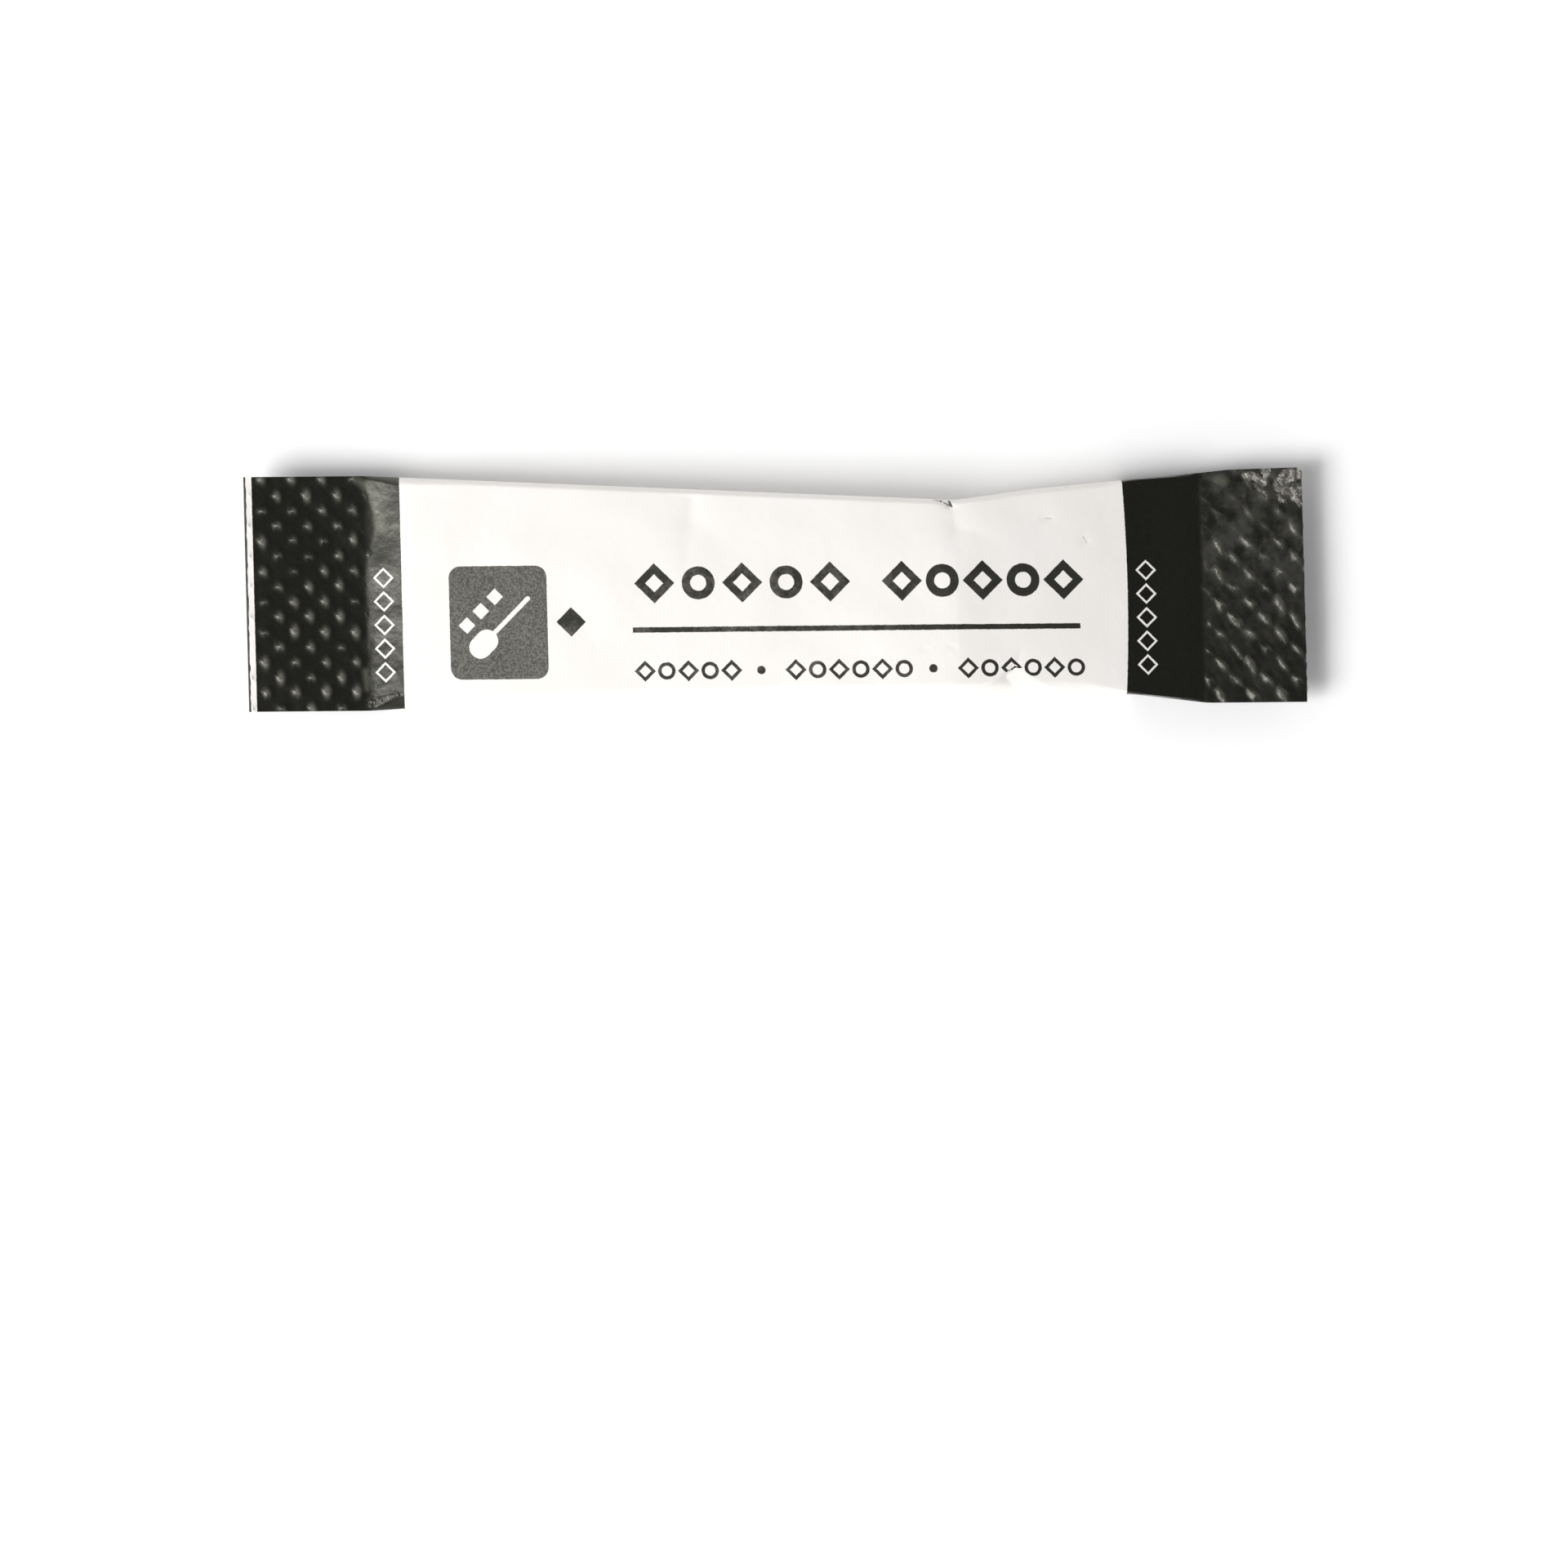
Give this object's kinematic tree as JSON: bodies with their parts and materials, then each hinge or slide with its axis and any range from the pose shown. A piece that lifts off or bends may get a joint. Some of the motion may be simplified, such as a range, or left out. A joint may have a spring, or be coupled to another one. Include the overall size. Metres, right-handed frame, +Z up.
{
  "type": "brown sugar stick",
  "caption": "Paper stick sachet of brown sugar: a filled flat tube, crimped shut at both ends, lying front up.",
  "frame": {"origin": "middle of the stick's box, on the table it lies on", "axes": "+X along the stick towards its shorter seal, +Y across it, +Z up out of the printed front"},
  "size_m": [0.09, 0.0198, 0.0053],
  "materials": {
    "printed_paper": "satin"
  },
  "bodies": {
    "root": {"sugar_stick": "printed_paper"}
  },
  "joints": []
}
